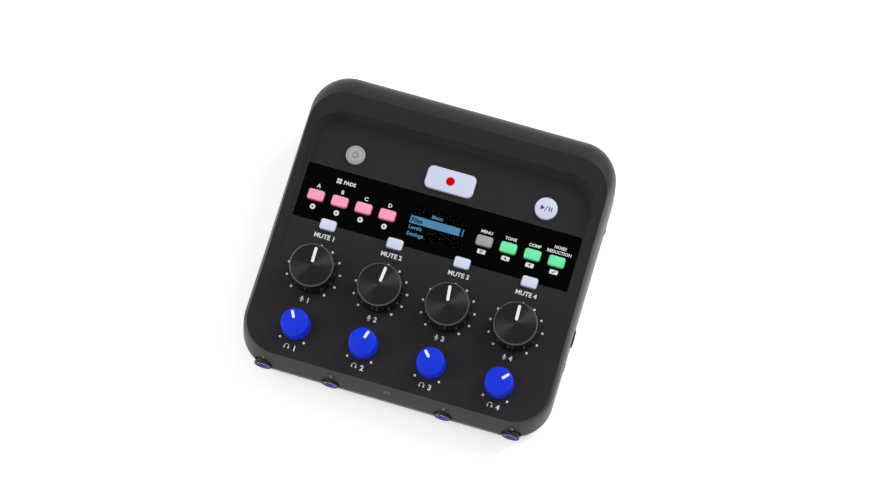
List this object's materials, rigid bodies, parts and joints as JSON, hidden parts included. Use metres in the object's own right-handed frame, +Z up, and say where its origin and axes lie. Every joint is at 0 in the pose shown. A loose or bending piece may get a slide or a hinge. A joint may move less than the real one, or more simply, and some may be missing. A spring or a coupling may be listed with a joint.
{
  "type": "podcast recorder",
  "caption": "Desktop audio recorder with a sloping sunk deck, level knobs, keys, a small display, rear microphone sockets and front headphone jacks.",
  "frame": {"origin": "on the table, under the middle of the overall box", "axes": "+X to the user's right, +Y away from the user towards the microphone sockets, +Z up"},
  "size_m": [0.1612, 0.1526, 0.0469],
  "materials": {
    "case_plastic": "fine matte texture",
    "band_gloss": "clear gloss over black",
    "knob_black": "satin with a spun top",
    "knob_blue": "satin",
    "button_white": "satin",
    "button_grey": "satin",
    "button_pink": "translucent satin",
    "button_green": "translucent satin",
    "board": "solder mask",
    "steel": "bright",
    "screen": "glass",
    "rubber": "matte",
    "cell": "satin wrap"
  },
  "bodies": {
    "case": {"top_shell": "case_plastic", "bottom_shell": "case_plastic", "display_window": "band_gloss", "display_module": "screen", "panel_board": "board", "jack_board": "board", "rear_board": "board", "mic_socket_1": "knob_black", "mic_socket_2": "knob_black", "mic_socket_3": "knob_black", "mic_socket_4": "knob_black", "phones_jack_1": "case_plastic", "phones_jack_2": "case_plastic", "phones_jack_3": "case_plastic", "phones_jack_4": "case_plastic", "phone_in_jack": "case_plastic", "usb_port": "steel", "card_socket": "steel", "battery_cell_1": "cell", "battery_cell_2": "cell", "battery_minus_contact": "steel", "battery_plus_contact": "steel", "rubber_foot_1": "rubber", "rubber_foot_2": "rubber", "rubber_foot_3": "rubber", "rubber_foot_4": "rubber"},
    "mic_knob_1": {"mic_knob_1": "knob_black", "mic_shaft_1": "steel"},
    "mic_knob_2": {"mic_knob_2": "knob_black", "mic_shaft_2": "steel"},
    "mic_knob_3": {"mic_knob_3": "knob_black", "mic_shaft_3": "steel"},
    "mic_knob_4": {"mic_knob_4": "knob_black", "mic_shaft_4": "steel"},
    "phones_knob_1": {"phones_knob_1": "knob_blue", "phones_shaft_1": "steel"},
    "phones_knob_2": {"phones_knob_2": "knob_blue", "phones_shaft_2": "steel"},
    "phones_knob_3": {"phones_knob_3": "knob_blue", "phones_shaft_3": "steel"},
    "phones_knob_4": {"phones_knob_4": "knob_blue", "phones_shaft_4": "steel"},
    "pad_button_1": {"pad_button_1": "button_pink"},
    "pad_button_2": {"pad_button_2": "button_pink"},
    "pad_button_3": {"pad_button_3": "button_pink"},
    "pad_button_4": {"pad_button_4": "button_pink"},
    "menu_key": {"menu_key": "button_grey"},
    "tone_key": {"tone_key": "button_green"},
    "compressor_key": {"compressor_key": "button_green"},
    "noise_key": {"noise_key": "button_green"},
    "mute_button_1": {"mute_button_1": "button_white"},
    "mute_button_2": {"mute_button_2": "button_white"},
    "mute_button_3": {"mute_button_3": "button_white"},
    "mute_button_4": {"mute_button_4": "button_white"},
    "power_button": {"power_button": "button_grey"},
    "record_button": {"record_button": "button_white"},
    "play_button": {"play_button": "button_white"},
    "call_switch_slider": {"call_switch_slider": "rubber"},
    "mode_switch_slider": {"mode_switch_slider": "rubber"},
    "battery_door": {"battery_door": "case_plastic"}
  },
  "joints": [
    {"name": "mic_knob_1_turn", "type": "hinge", "parent": "case", "child": "mic_knob_1", "pos_m": [-0.0525, -0.02739, 0.02915], "axis": [0, -0.1132, 0.9936], "range_deg": [-141, 139]},
    {"name": "mic_knob_2_turn", "type": "hinge", "parent": "case", "child": "mic_knob_2", "pos_m": [-0.0175, -0.02739, 0.02915], "axis": [0, -0.1132, 0.9936], "range_deg": [-135, 145]},
    {"name": "mic_knob_3_turn", "type": "hinge", "parent": "case", "child": "mic_knob_3", "pos_m": [0.0175, -0.02739, 0.02915], "axis": [0, -0.1132, 0.9936], "range_deg": [-147, 133]},
    {"name": "mic_knob_4_turn", "type": "hinge", "parent": "case", "child": "mic_knob_4", "pos_m": [0.0525, -0.02739, 0.02915], "axis": [0, -0.1132, 0.9936], "range_deg": [-142.5, 137.5]},
    {"name": "phones_knob_1_turn", "type": "hinge", "parent": "case", "child": "phones_knob_1", "pos_m": [-0.0525, -0.05611, 0.02588], "axis": [0, -0.1132, 0.9936], "range_deg": [-168, 112]},
    {"name": "phones_knob_2_turn", "type": "hinge", "parent": "case", "child": "phones_knob_2", "pos_m": [-0.0175, -0.05611, 0.02588], "axis": [0, -0.1132, 0.9936], "range_deg": [-123, 157]},
    {"name": "phones_knob_3_turn", "type": "hinge", "parent": "case", "child": "phones_knob_3", "pos_m": [0.0175, -0.05611, 0.02588], "axis": [0, -0.1132, 0.9936], "range_deg": [-182, 98]},
    {"name": "phones_knob_4_turn", "type": "hinge", "parent": "case", "child": "phones_knob_4", "pos_m": [0.0525, -0.05611, 0.02588], "axis": [0, -0.1132, 0.9936], "range_deg": [-97.5, 182.5]},
    {"name": "pad_button_1_press", "type": "slide", "parent": "case", "child": "pad_button_1", "axis": [0, 0.1132, -0.9936], "range_m": [0, 0.0008], "stiffness_N_per_m": 400},
    {"name": "pad_button_2_press", "type": "slide", "parent": "case", "child": "pad_button_2", "axis": [0, 0.1132, -0.9936], "range_m": [0, 0.0008], "stiffness_N_per_m": 400},
    {"name": "pad_button_3_press", "type": "slide", "parent": "case", "child": "pad_button_3", "axis": [0, 0.1132, -0.9936], "range_m": [0, 0.0008], "stiffness_N_per_m": 400},
    {"name": "pad_button_4_press", "type": "slide", "parent": "case", "child": "pad_button_4", "axis": [0, 0.1132, -0.9936], "range_m": [0, 0.0008], "stiffness_N_per_m": 400},
    {"name": "menu_key_press", "type": "slide", "parent": "case", "child": "menu_key", "axis": [0, 0.1132, -0.9936], "range_m": [0, 0.0008], "stiffness_N_per_m": 400},
    {"name": "tone_key_press", "type": "slide", "parent": "case", "child": "tone_key", "axis": [0, 0.1132, -0.9936], "range_m": [0, 0.0008], "stiffness_N_per_m": 400},
    {"name": "compressor_key_press", "type": "slide", "parent": "case", "child": "compressor_key", "axis": [0, 0.1132, -0.9936], "range_m": [0, 0.0008], "stiffness_N_per_m": 400},
    {"name": "noise_key_press", "type": "slide", "parent": "case", "child": "noise_key", "axis": [0, 0.1132, -0.9936], "range_m": [0, 0.0008], "stiffness_N_per_m": 400},
    {"name": "mute_button_1_press", "type": "slide", "parent": "case", "child": "mute_button_1", "axis": [0, 0.1132, -0.9936], "range_m": [0, 0.0008], "stiffness_N_per_m": 400},
    {"name": "mute_button_2_press", "type": "slide", "parent": "case", "child": "mute_button_2", "axis": [0, 0.1132, -0.9936], "range_m": [0, 0.0008], "stiffness_N_per_m": 400},
    {"name": "mute_button_3_press", "type": "slide", "parent": "case", "child": "mute_button_3", "axis": [0, 0.1132, -0.9936], "range_m": [0, 0.0008], "stiffness_N_per_m": 400},
    {"name": "mute_button_4_press", "type": "slide", "parent": "case", "child": "mute_button_4", "axis": [0, 0.1132, -0.9936], "range_m": [0, 0.0008], "stiffness_N_per_m": 400},
    {"name": "power_button_press", "type": "slide", "parent": "case", "child": "power_button", "axis": [0, 0.1132, -0.9936], "range_m": [0, 0.0008], "stiffness_N_per_m": 400},
    {"name": "record_button_press", "type": "slide", "parent": "case", "child": "record_button", "axis": [0, 0.1132, -0.9936], "range_m": [0, 0.0008], "stiffness_N_per_m": 400},
    {"name": "play_button_press", "type": "slide", "parent": "case", "child": "play_button", "axis": [0, 0.1132, -0.9936], "range_m": [0, 0.0008], "stiffness_N_per_m": 400},
    {"name": "call_switch_slider_slide", "type": "slide", "parent": "case", "child": "call_switch_slider", "axis": [0, 1, 0], "range_m": [0, 0.002]},
    {"name": "mode_switch_slider_slide", "type": "slide", "parent": "case", "child": "mode_switch_slider", "axis": [0, 1, 0], "range_m": [0, 0.0025]},
    {"name": "battery_door_hinge", "type": "hinge", "parent": "case", "child": "battery_door", "pos_m": [0, 0.0163, 0.0026], "axis": [-1, 0, 0], "range_deg": [0, 75]}
  ]
}
